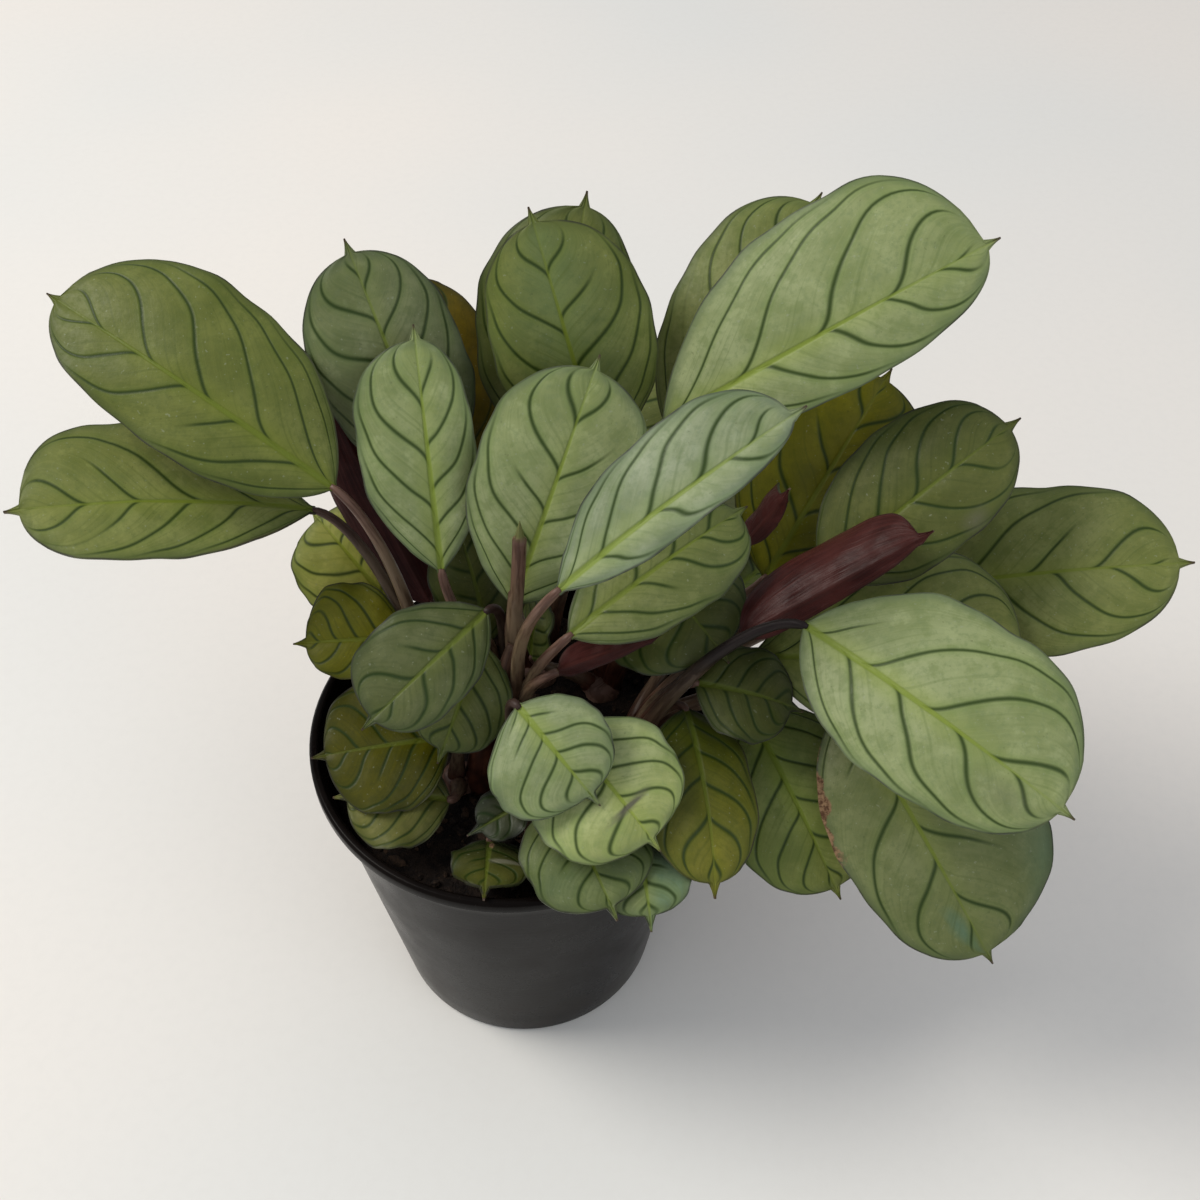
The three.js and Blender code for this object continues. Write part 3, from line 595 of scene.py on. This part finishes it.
class Blade:
    """One blade: its frame, and any point of it from s along the midrib and v across."""

    def __init__(self, row, order):
        (self.name, self.clump, neck, tip, self.width, self.roll,
         self.arch, self.fold, self.curl, self.twist, self.lean, self.tone) = row
        self.order = order
        self.neck = Vector(neck)
        self.along = Vector(tip) - self.neck
        self.length = self.along.length
        self.along.normalize()
        across = Vector((0, 0, 1)).cross(self.along).normalized()
        self.across = turned(across, self.along, math.radians(self.roll))
        self.out = self.along.cross(self.across)
        self.body = 1 - SPUR_LENGTH / self.length
        luck = random.Random(1000 + 7 * order + len(self.name))
        spacing = max(CLOSEST_VEINS, self.length / SIDE_VEINS)
        self.spacing = [spacing * luck.uniform(0.92, 1.3) for _ in range(2)]
        self.shift = [luck.uniform(0.0, 0.4), luck.uniform(0.5, 0.9)]
        self.start = [VEIN_START * luck.uniform(0.7, 1.15) for _ in range(2)]
        self.ripple = luck.uniform(0, 6)
        self.sweep = min(1.0, 0.52 * self.length / self.width)

    def half(self, s, v):
        """Half width at s on the side that v is on, its outline a little ruffled."""
        side = 1 if v > 0 else -1
        wide = 1 + side * self.lean
        ruffle = RUFFLE * math.sin(15 * s + 2.1 * self.order + side)
        ruffle += FINE_RUFFLE * math.sin(37 * s + 1.3 * self.order + 2 * side)
        ruffle *= min(1, 5 * s) * min(1, 9 * max(0, 0.95 - s))
        even = half_width(s, self.width, self.length, wide, DRAWN.get(self.name, PLAIN))
        return even * (1 + ruffle)

    def frame_at(self, s):
        """Directions across the blade and out of its face at s."""
        slope = 4 * self.arch * (1 - 2 * s) / self.length
        tangent = (self.along + self.out * slope).normalized()
        side = turned(self.across, tangent, math.radians(self.twist) * (s - 0.5))
        return side, tangent.cross(side)

    def point(self, s, v, lifted=0.0):
        """A point of the arched, folded and cupped blade, lifted off its middle sheet."""
        side, face = self.frame_at(s)
        w = self.half(s, v)
        share = w / (self.width / 2)
        t = abs(v)
        sign = (v > 0) - (v < 0)
        bend = math.radians(self.curl) * t * share
        valley = math.radians(self.fold) * min(1, 4 * s) * min(1, 5 * (1 - s) + 0.1)
        span = w * t
        reach, lift = span, 0.0
        if abs(bend) > 1e-6:
            reach = span * math.sin(bend) / bend
            lift = span * (1 - math.cos(bend)) / bend
        x = reach * math.cos(valley) - lift * math.sin(valley)
        y = reach * math.sin(valley) + lift * math.cos(valley)
        if share > 0.5:
            y += EDGE_WAVE * share * t**3 * math.sin(15 * s + 2 * sign + 1.7 * self.order)
        at = self.neck + self.along * self.length * s + self.out * 4 * self.arch * s * (1 - s)
        at += side * x * sign + face * y
        if lifted:
            tilt = valley + bend
            at += (face * math.cos(tilt) - side * math.sin(tilt) * sign) * lifted
        return at

    def vein_count(self, s, v):
        """Side veins passed so far, less their straight share, and their reach and spacing."""
        k = 0 if v > 0 else 1
        spacing = self.spacing[k]
        x = self.length * s
        x += spacing * 0.16 * math.sin(0.9 * self.length * s / spacing + self.ripple)
        wide = 1 + (self.lean if k == 0 else -self.lean)
        reach = self.sweep * self.width / 2 * wide / spacing
        count = x / spacing - reach * self.start[k] * abs(v) + self.shift[k]
        return count + 40 * self.order + 20 * k + 3, reach, spacing

    def waver(self, s, v):
        """Slow unevenness of the sheet, none at its two ends."""
        along, side = self.length * s, self.half(s, v) * v
        slow = noise.noise(Vector((along / 13, side / 11, 3.7 * self.order + self.width)))
        quick = noise.noise(Vector((along / 5, side / 5, 1.9 * self.order)))
        return (WAVER * slow + FINE_WAVER * quick) * min(1, 6 * s) * min(1, 6 * (1 - s))

    def pillow(self, s, v):
        """How far the sheet swells between its side veins."""
        count, reach, spacing = self.vein_count(s, v)
        t = abs(v)
        phase = count - reach * (VEIN_HOOK + VEIN_BEND * t**3 + VEIN_SWEEP * t**SWEEP_POWER)
        steep = SWEEP_POWER * VEIN_SWEEP * t ** (SWEEP_POWER - 1)
        slope = self.sweep * (VEIN_START + 3 * VEIN_BEND * t**2 + steep)
        away = abs(phase % 1 - 0.5) * spacing / math.sqrt(1 + slope * slope)
        calm = min(1, t / 0.25) * min(1, (1 - t) / 0.2)
        return PILLOW * calm * (1 - math.exp(-((away / 1.9) ** 2)))


def station(blade, u):
    """Rows crowd towards both ends of the body; the last few make the spur."""
    last = 1 - SPUR_ROWS / GRID_ALONG
    if u > last:
        return blade.body + (1 - blade.body) * (u - last) / (1 - last)
    r = u / last
    return blade.body * (0.3 * r + 0.7 * (0.5 - 0.5 * math.cos(math.pi * r)))


def edge_gap(blade, s, v, outline):
    """Distance from a point of the flat blade to its outline on the same side."""
    at = Vector((blade.length * s, blade.half(s, v) * abs(v)))
    best = 99.0
    for a, b in zip(outline, outline[1:]):
        step = b - a
        share = max(0.0, min(1.0, (at - a).dot(step) / max(step.length_squared, 1e-9)))
        best = min(best, (a + step * share - at).length)
    return best


def spot(s, v, middle, reach):
    """A soft oval patch on a blade: 1 in its middle, 0 from its rim on."""
    return max(0.0, 1 - math.hypot((s - middle[0]) / reach[0], (v - middle[1]) / reach[1]))


def leaf_marks(blade, s, v):
    """Dryness, blue-green tint and flush at a point; a flush below 0 is a grey scar."""
    dry = cool = flush = 0.0
    if blade.name == "low_right_big":
        ragged = 0.05 * math.sin(31 * s) + 0.04 * math.sin(73 * s)
        dry = 0.9 * min(1.0, max(0.0, (-v - 0.84 + ragged) / 0.12))
        dry *= max(0.0, 1 - abs(s - 0.28) / 0.32)
        wedge = 0.62 * spot(s, v, (0.85, -0.2), (0.11, 0.15)) ** 0.5
        margin = 0.5 * max(0.0, (v - 0.6) / 0.4) * max(0.0, 1 - abs(s - 0.75) / 0.3)
        cool = max(wedge, margin)
    elif blade.name == "front_round_b":
        flush = -2.2 * spot(s + 0.04 * v, v, (0.66, 0.04), (0.026, 0.46))
    elif blade.name == "torn_small":
        dry = 0.62 * spot(s, v, (0.12, 0.1), (0.16, 0.25))
        tear = max(0.0, 1 - abs(s - 0.42 - 0.06 * v) / 0.045)
        flush = -2.6 * tear * min(1, max(0.0, 4 * v))
    elif blade.name == "front_low_d":
        cool = 0.55 * min(1.0, max(0.0, 2.5 * v + 0.2))
    elif blade.name == "front_low_c":
        cool = 0.2 * max(0.0, 1 - abs(s - 0.6) / 0.5)
    elif blade.name == "back_centre":
        cool = 0.3 * spot(s, v, (0.7, 0), (1, 1))
    elif blade.name == "right_big":
        flush = -0.35 * spot(s, v, (0.8, -0.35), (0.14, 0.35))
    elif blade.name == "right_upper":
        flush = -0.9 * spot(s, v, (0.62, -0.82), (0.08, 0.2))
    elif blade.name == "left_low" and v > 0:
        flush = max(0.0, (v - 0.9) / 0.1) * max(0.0, 1 - s / 0.45)
    elif blade.name == "low_right_inner":
        dry = 0.8 * spot(s, v, (0.12, -0.95), (0.1, 0.3))
    return dry, cool, flush


def within_box(at):
    """A point no further out than the part's own box."""
    low, high = cad_box
    return Vector(min(max(c, a + BOX_EASE), b - BOX_EASE) for c, a, b in zip(at, low, high))


def grow_leaf(blade, materials):
    """The sheet is a grid, doubled into a closed thin shell and bent onto the blade's form."""
    bm = bmesh.new()
    across = bm.loops.layers.float_vector.new("across")
    veins = bm.loops.layers.float_vector.new("veins")
    off_rib = bm.loops.layers.float_vector.new("off_rib")
    field = bm.verts.layers.float_color.new("field")
    marks = bm.verts.layers.float_vector.new("marks")
    bmesh.ops.create_grid(bm, x_segments=GRID_ALONG, y_segments=GRID_ACROSS, size=1)
    grown = bmesh.ops.extrude_face_region(bm, geom=bm.faces[:], use_keep_orig=True)
    upper = {v for v in grown["geom"] if isinstance(v, bmesh.types.BMVert)}
    outlines = {}
    for sign in (1, -1):
        steps = [station(blade, i / OUTLINE_STEPS) for i in range(OUTLINE_STEPS + 1)]
        outlines[sign] = [Vector((blade.length * s, blade.half(s, sign))) for s in steps]
        outlines[sign].append(Vector((blade.length, 0)))
    bright = BRIGHT.get(blade.name, 1.0)
    near = Vector(TONES[blade.tone]) * bright
    far, turn = TIP_TONES.get(blade.name, (blade.tone, 0))
    far = Vector(TONES[far]) * bright
    near.z *= BLUE.get(blade.name, 1.0)
    far.z *= BLUE.get(blade.name, 1.0)
    spots = {}
    for vert in bm.verts:
        u = (vert.co.x + 1) / 2
        q = vert.co.y
        s = station(blade, u)
        v = math.copysign(abs(q) ** MARGIN_CROWDING, q) if abs(q) > 1e-6 else 0.0
        spots[vert] = (s, v)
    gaps = {}
    for vert, (s, v) in spots.items():
        key = (round(s, 5), round(v, 5))
        if key not in gaps:
            outline = outlines[1 if v > 0 else -1]
            gaps[key] = 0.0 if abs(v) > 0.9999 else edge_gap(blade, s, v or 1e-6, outline)
    for face in bm.faces:
        middle = sum(spots[c.vert][1] for c in face.loops) / len(face.loops)
        sided = 1 if middle > 0 else -1
        for corner in face.loops:
            s, v = spots[corner.vert]
            count, reach, spacing = blade.vein_count(s, v if abs(v) > 1e-9 else sided * 1e-9)
            corner[across] = (v, s, gaps[round(s, 5), round(v, 5)])
            corner[veins] = (count, reach, spacing)
            corner[off_rib] = (abs(v) * blade.half(s, sided), blade.sweep, sided + 3 * blade.order)
    for vert, (s, v) in spots.items():
        vert[field] = (*near.lerp(far, turn * min(1, max(0, s)) ** 1.4), 1)
        vert[marks] = leaf_marks(blade, s, v)
        swell = blade.pillow(s, v)
        waver = blade.waver(s, v)
        off = abs(v) * blade.half(s, v)
        rib = math.exp(-((off / 0.9) ** 2)) * (1 - 0.75 * s)
        if vert in upper:
            rise = SHEET / 2 + swell + waver - RIB_GROOVE * rib
        else:
            rise = -SHEET / 2 + swell + waver - RIB_KEEL * rib
        vert.co = within_box(blade.point(s, v, rise) * MM)
    for face in bm.faces:
        sides = sum(c.vert in upper for c in face.loops)
        face.material_index = 1 if sides == 0 else 0
        face.smooth = True
    for edge in bm.edges:
        on_rim = any(0 < sum(v in upper for v in f.verts) < len(f.verts) for f in edge.link_faces)
        edge.smooth = not on_rim
    bmesh.ops.recalc_face_normals(bm, faces=bm.faces[:])
    return finish_piece(bm, "leaf_" + blade.name + "_detail", materials)


def finish_piece(bm, name, materials):
    piece = add_mesh(bm, name, materials)
    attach(piece, "root")
    return piece


# Stalks

def stalk_material():
    """Stalk skin: brown to purple with fine lengthwise lines; its tint is green or dark, the dark
    partly painted shade.
    """
    material, s, surface = new_material("stalk_skin", 0.2)
    place = s.place()
    up, round_it, tint = s.parts(s.stored("up"))
    green = s.calc("MAXIMUM", tint, 0.0)
    dark = s.calc("MAXIMUM", s.times(tint, -1.0), 0.0)
    lines = s.grain(s.vector(s.times(round_it, 9.0), s.times(up, 6.0), tint), 1.0, 3.0, 0.6)
    clouds = s.grain(place, 160.0, 2.0, 0.6)
    colour = s.mix(s.ramp(clouds, 0.3, 0.7), (0.088, 0.043, 0.029), (0.168, 0.094, 0.064))
    half_way = s.times(s.ramp(up, 0.1, 0.5), s.ramp(up, 0.95, 0.6))
    colour = s.mix(half_way, colour, (0.142, 0.099, 0.060))
    colour = s.mix(s.ramp(up, 0.6, 0.95, 0.0, 0.8), colour, (0.135, 0.078, 0.058))
    sheath = s.mix(s.ramp(clouds, 0.35, 0.65), (0.030, 0.008, 0.004), (0.088, 0.026, 0.012))
    colour = s.mix(s.ramp(up, 0.34, 0.1, 0.0, 0.9), colour, sheath)
    colour = s.mix(s.times(green, 0.85), colour, (0.13, 0.155, 0.04))
    # the dark tint: the stalks' own dark colour on most, painted shade on the necks of
    # front_round_a and front_left_e
    colour = s.mix(dark, colour, (0.008, 0.005, 0.006))
    lined = s.mix(1.0, colour, (0.42, 0.34, 0.32), "MULTIPLY")
    colour = s.mix(s.ramp(lines, 0.45, 0.6, 0.0, 0.7), colour, lined)
    s.put(surface["Base Color"], colour)
    s.put(surface["Roughness"], s.ramp(clouds, 0.3, 0.8, 0.34, 0.52))
    s.put(surface["Normal"], s.bump(s.plus(lines, s.times(clouds, 0.4)), 0.5, 0.00025))
    return material


def bezier(points, t):
    a, b, c, d = points
    r = 1 - t
    return a * r**3 + b * 3 * r * r * t + c * 3 * r * t * t + d * t**3


def grow_rod(bm, layer, points, radius_at, steps, sides, tint_at, reach=1.0):
    """A round rod drawn along a curve: one ring, extruded step by step and closed at both ends."""
    ring = bmesh.ops.create_circle(bm, cap_ends=False, radius=1, segments=sides)["verts"]
    edges = list(dict.fromkeys(e for v in ring for e in v.link_edges))
    axis = (bezier(points, 0.02) - points[0]).normalized()
    side = axis.orthogonal().normalized()
    rings = []
    for i in range(steps + 1):
        t = i / steps
        if i:
            grown = bmesh.ops.extrude_edge_only(bm, edges=edges)["geom"]
            ring_new = [g for g in grown if isinstance(g, bmesh.types.BMVert)]
            edges = [g for g in grown if isinstance(g, bmesh.types.BMEdge)
                     and all(v in ring_new for v in g.verts)]
            ring = []
            for old in rings[-1]:
                ends = (edge.other_vert(old) for edge in old.link_edges)
                ring.append(next(vert for vert in ends if vert in ring_new))
        ahead = (bezier(points, min(1, t + 0.01)) - bezier(points, max(0, t - 0.01))).normalized()
        side = (side - ahead * side.dot(ahead)).normalized()
        other = ahead.cross(side)
        centre = bezier(points, t)
        for j, vert in enumerate(ring):
            angle = math.tau * j / sides
            r = radius_at(t, angle)
            vert.co = (centre + (side * math.cos(angle) + other * math.sin(angle)) * r) * MM
            vert[layer] = (t * reach, j / sides, tint_at(t))
        rings.append(ring)
    for end in (rings[0], rings[-1]):
        bmesh.ops.contextual_create(bm, geom=end)


def stalk_points(blade):
    """The curve of one stalk, from its clump up to the neck of its blade."""
    start = (blade.along + blade.out * (4 * blade.arch / blade.length)).normalized()
    x, y = CLUMPS[blade.clump]
    toward = Vector((blade.neck.x - x, blade.neck.y - y, 0))
    if toward.length > STALK_SPREAD:
        toward.length = STALK_SPREAD
    foot = Vector((x, y, STUB_TOP - 4)) + toward
    end = blade.neck - start * 0.35
    rise = (foot - end).length
    first = foot + Vector((0, 0, 0.38 * rise))
    second = end - start * 0.2 * rise
    if blade.name in LED:
        first += Vector(LED[blade.name][0])
        second += Vector(LED[blade.name][1])
    return foot, first, second, end + start * 1.3


def stalk_radius(t, angle):
    """A stalk tapers to its neck and has a one-sided sheath at its foot."""
    taper = FOOT_RADIUS + (NECK_RADIUS - FOOT_RADIUS) * t
    taper *= 1 - 0.3 * max(0, (t - 0.95) / 0.05)
    sheath = (0.75 + 0.5 * math.cos(angle)) * math.exp(-((t / 0.26) ** 2))
    return taper + sheath


def stub_radius(t, angle):
    lobes = 0.22 * math.sin(5 * angle + 3 * t)
    return 5.9 - 0.6 * t - 2.2 * max(0, t - 0.8) / 0.2 + lobes


def spear_radius(t, angle):
    """A furled leaf that leaves its sheath through a slanted mouth and ends in a point."""
    seam = ((angle / math.tau - 0.6 * t) % 1) - 0.5
    lap = 0.3 * math.exp(-((seam / 0.07) ** 2))
    mouth = 0.63 + 0.06 * math.cos(angle - 2.4)
    outer = 1.9 + 0.55 * math.exp(-(((t - 0.52) / 0.2) ** 2))
    sheath = outer if t < mouth else 1.75 - 0.3 * (t - 0.6)
    return sheath - lap if t < 0.93 else 1.15 * max(0.04, (1 - t) / 0.07) ** 0.8


def bract_radius(t, angle):
    seam = ((angle / math.tau + 0.35 * t) % 1) - 0.5
    even = 5.2 - 3.6 * t**0.8 - 0.4 * math.exp(-((seam / 0.08) ** 2))
    return even * (1 + 0.12 * math.cos(2 * angle))


def grow_clump(name, blades, material):
    """The stub in the soil, its overlapping sheaths and the stalks that leave it."""
    bm = bmesh.new()
    layer = bm.verts.layers.float_vector.new("up")
    x, y = CLUMPS[name]
    centre = Vector((x, y, 0))
    stub = [centre + Vector((0, 0, z)) for z in (76.2, 82, 86, 90.9)]
    grow_rod(bm, layer, stub, stub_radius, 10, 28, lambda t: 0.0)
    for blade in blades:
        if blade.clump == name:
            # painted shade on front_round_a and front_left_e: their stalks darken towards the neck
            dark = DARK_STALKS.get(blade.name, 0.0)
            grow_rod(bm, layer, stalk_points(blade), stalk_radius, 26, 12,
                     lambda t: -dark * min(1, max(0, 3 * t - 0.6)))
    if name == "C":
        foot, tip = Vector((1, 3, 88)), Vector((4, 5, 166))
        spear = [foot, foot.lerp(tip, 0.33) - Vector((3, 0, 0)), foot.lerp(tip, 0.7), tip]
        grow_rod(bm, layer, spear, spear_radius, 90, 24,
                 lambda t: max(0.0, min(1.0, (t - 0.925) / 0.02)))
        bract = [Vector(p) for p in ((-8, -10, 87), (-8, -9, 100), (-4, -4, 112), (1, 2, 127))]
        grow_rod(bm, layer, bract, bract_radius, 30, 24, lambda t: 0.0, 0.28)
    for face in bm.faces:
        face.smooth = True
    bmesh.ops.recalc_face_normals(bm, faces=bm.faces[:])
    piece = finish_piece(bm, "stems_" + name.lower() + "_detail", [material])
    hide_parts("stems_" + name.lower())


# Pot and soil

def pot_material():
    """Dark nursery plastic: a soft sheen, faint turning lines and dust towards the foot."""
    material, s, surface = new_material("pot_plastic", 0.06)
    place = s.place()
    height = s.parts(place)[2]
    turning = s.grain(s.vector(0.0, 0.0, s.times(height, 900.0)), 1.0, 3.0, 0.6)
    dust = s.grain(place, 55.0, 4.0, 0.6)
    specks = s.grain(place, 1500.0, 2.0, 0.6)
    colour = s.mix(s.ramp(dust, 0.35, 0.75), (0.0030, 0.0020, 0.0016), (0.0056, 0.0038, 0.0030))
    dusty = s.times(s.ramp(height, 0.035, 0.0), s.ramp(dust, 0.4, 0.7))
    colour = s.mix(dusty, colour, (0.022, 0.018, 0.015))
    colour = s.mix(s.ramp(specks, 0.68, 0.76, 0.0, 0.2), colour, (0.06, 0.05, 0.045))
    s.put(surface["Base Color"], colour)
    rough = s.plus(s.ramp(dust, 0.3, 0.8, 0.24, 0.36), s.ramp(specks, 0.6, 0.75, 0.0, 0.12))
    s.put(surface["Roughness"], rough)
    relief = s.plus(s.times(turning, 0.6), s.times(specks, 0.25))
    s.put(surface["Normal"], s.bump(relief, 0.25, 0.00012))
    return material


def soil_material():
    """Dark peat with brown fibre and a few pale grains; its dark is partly painted shade under the
    leaves.
    """
    material, s, surface = new_material("peat", 0.15)
    place = s.place()
    lumps = s.grain(place, 260.0, 4.0, 0.7)
    fibre = s.grain(place, 900.0, 3.0, 0.7)
    # the peat's own dark brown, darkened further as painted shade under the leaves
    colour = s.mix(s.ramp(lumps, 0.35, 0.7), (0.0045, 0.003, 0.0025), (0.020, 0.0125, 0.0085))
    colour = s.mix(s.ramp(fibre, 0.6, 0.72, 0.0, 0.6), colour, (0.052, 0.032, 0.019))
    s.put(surface["Base Color"], colour)
    s.put(surface["Roughness"], s.ramp(fibre, 0.3, 0.8, 0.8, 0.98))
    s.put(surface["Normal"], s.bump(s.plus(lumps, fibre), 0.8, 0.0012))
    return material


def spin_profile(bm, profile, turns):
    """A chain of points round the upright axis, spun into a closed body."""
    chain = [bm.verts.new((r * MM, 0, z * MM)) for r, z in profile]
    edges = [bm.edges.new(pair) for pair in zip(chain, chain[1:])]
    bmesh.ops.spin(bm, geom=chain + edges, cent=(0, 0, 0), axis=(0, 0, 1), dvec=(0, 0, 0),
                   angle=math.tau, steps=turns, use_merge=True)
    bmesh.ops.remove_doubles(bm, verts=bm.verts[:], dist=1e-6)
    bmesh.ops.recalc_face_normals(bm, faces=bm.faces[:])


def make_pot(material):
    shoulder = POT_HEIGHT - RIM_BAND
    inner = WALL_TOP_RADIUS - WALL
    profile = [(0, 0), (BASE_RADIUS - 1.2, 0), (BASE_RADIUS, 1.2)]
    for i in range(1, 12):
        z = 1.2 + (shoulder - 1.2) * i / 12
        profile.append((BASE_RADIUS + (WALL_TOP_RADIUS - BASE_RADIUS) * i / 12, z))
    profile += [
        (WALL_TOP_RADIUS, shoulder), (RIM_RADIUS - 0.5, shoulder), (RIM_RADIUS, shoulder + 0.6),
        (RIM_RADIUS, POT_HEIGHT - 0.7), (RIM_RADIUS - 0.7, POT_HEIGHT),
        (RIM_RADIUS - 1.9, POT_HEIGHT), (RIM_RADIUS - 2.4, POT_HEIGHT - 0.6),
        (inner, shoulder - 1.5), (BASE_RADIUS - WALL + 0.3, POT_FLOOR), (0, POT_FLOOR),
    ]
    bm = bmesh.new()
    spin_profile(bm, profile, 120)
    hard = []
    for edge in bm.edges:
        a, b = (Vector((v.co.x, v.co.y)).length / MM for v in edge.verts)
        turn = edge.calc_face_angle(0)
        if abs(a - b) < 0.01 and a > 5 and turn > 0.3:
            hard.append(edge)
    bmesh.ops.bevel(bm, geom=hard, offset=0.00022, segments=2, profile=0.5, affect="EDGES",
                    material=-1)
    for face in bm.faces:
        face.smooth = len(face.verts) > 3
    piece = finish_piece(bm, "pot_shell", [material])
    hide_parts("pot")


def soil_height(x, y):
    swell = 0.7 * math.sin(x * 0.21 + 1) * math.cos(y * 0.17)
    return SOIL_TOP + swell + 0.4 * math.sin(0.4 * y - 0.3 * x)


def soil_lumps(x, y):
    return noise.fractal(Vector((x, y, 3)) * 0.28, 0.6, 2.1, 4) * 0.9


def make_soil(material, crumb_material):
    """The root ball, uneven on top, with crumbs and chips of bark lying on it."""
    top = WALL_TOP_RADIUS - WALL - 0.9
    low = BASE_RADIUS - WALL - 0.3
    rings = 30
    profile = [(0, 2.7), (low, 2.7), (top, 85.9)]
    profile += [(top * (rings - i) / rings, SOIL_TOP) for i in range(1, rings)] + [(0, SOIL_TOP)]
    bm = bmesh.new()
    spin_profile(bm, profile, 110)
    for vert in bm.verts:
        x, y, z = vert.co / MM
        if z > 86.5:
            fine = noise.noise(Vector((x, y, 9)) * 1.1) * 0.35
            vert.co.z = (soil_height(x, y) + soil_lumps(x, y) + fine) * MM
    for face in bm.faces:
        face.smooth = True
    piece = finish_piece(bm, "soil_ball", [material])
    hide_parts("soil")
    lay_crumbs(crumb_material)


def lay_crumbs(material):
    """Crumbs and chips strewn over the soil by a seeded draw, clear of the stem clumps."""
    luck = random.Random(11)
    bm = bmesh.new()
    laid = 0
    while laid < CRUMBS:
        r, a = CRUMB_REACH * math.sqrt(luck.random()), luck.uniform(0, math.tau)
        x, y = r * math.cos(a), r * math.sin(a)
        size = luck.uniform(0.45, 1.5)
        chip = luck.random() < CHIP_SHARE
        if any(math.hypot(x - cx, y - cy) < CRUMB_CLEAR + size for cx, cy in CLUMPS.values()):
            continue
        turn = Matrix.Rotation(luck.uniform(0, math.tau), 4, "Z")
        turn = turn @ Matrix.Rotation(luck.uniform(-0.5, 0.5), 4, "X")
        shape = (2.2, 1.1, 0.45, 1) if chip else (1, luck.uniform(0.6, 1), 0.75, 1)
        made = bmesh.ops.create_icosphere(bm, subdivisions=1, radius=size * MM)["verts"]
        for vert in made:
            vert.co *= 1 + 0.35 * noise.noise(vert.co * 900 + Vector((laid, 0, 0)))
        z = soil_height(x, y) + soil_lumps(x, y) + size * 0.3
        place = Matrix.Translation(Vector((x, y, z)) * MM)
        bmesh.ops.transform(bm, matrix=place @ turn @ Matrix.Diagonal(shape), verts=made)
        laid += 1
    piece = finish_piece(bm, "soil_crumbs", [material])


def crumb_material():
    """Crumbs of peat and bark, each its own brown."""
    material, s, surface = new_material("bark_crumbs", 0.15)
    place = s.place()
    own = s.grain(place, 330.0, 1.0, 0.5)
    skin = s.grain(place, 1800.0, 3.0, 0.7)
    colour = s.mix(s.ramp(own, 0.35, 0.65), (0.007, 0.0045, 0.0035), (0.036, 0.020, 0.0115))
    colour = s.mix(s.ramp(skin, 0.45, 0.7, 0.0, 0.5), colour, (0.058, 0.037, 0.024))
    s.put(surface["Base Color"], colour)
    s.put(surface["Roughness"], s.ramp(skin, 0.3, 0.8, 0.75, 0.95))
    s.put(surface["Normal"], s.bump(skin, 0.7, 0.0006))
    return material


def make_floor():
    """A plain pale table top with the faintest grain, and broad patches of painted light."""
    material, s, surface = new_material("pale_floor", 0.3)
    place = s.place()
    grain = s.grain(place, 260.0, 3.0, 0.6)
    broad = s.grain(place, 2.4, 2.0, 0.5)
    # painted light: broad brighter warm and dimmer cool patches stand in for uneven light across
    # the floor
    colour = s.mix(s.ramp(broad, 0.3, 0.7), (0.83, 0.79, 0.735), (0.755, 0.76, 0.735))
    colour = s.mix(s.ramp(grain, 0.4, 0.7, 0.0, 0.1), colour, (0.7, 0.69, 0.66))
    s.put(surface["Base Color"], colour)
    s.put(surface["Roughness"], s.ramp(grain, 0.3, 0.8, 0.7, 0.82))
    bm = bmesh.new()
    bmesh.ops.create_grid(bm, x_segments=2, y_segments=2, size=3)
    add_mesh(bm, "floor", [material])


# The plant

set_camera()
light_studio()
make_floor()
make_pot(pot_material())
make_soil(soil_material(), crumb_material())

pattern = vein_pattern()
face = leaf_face(pattern)
open_back = leaf_back(pattern, "leaf_back", 1.0)
rolled_back = leaf_back(pattern, "rolled_back", 0.12)
blades = [Blade(row, order) for order, row in enumerate(LEAVES)]
rolled = [Blade(row, order) for order, row in enumerate(ROLLED)]
for blade in blades + rolled:
    piece = grow_leaf(blade, [face, rolled_back if blade in rolled else open_back])
    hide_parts("leaf_" + blade.name)

skin = stalk_material()
for name in CLUMPS:
    grow_clump(name, blades + rolled, skin)
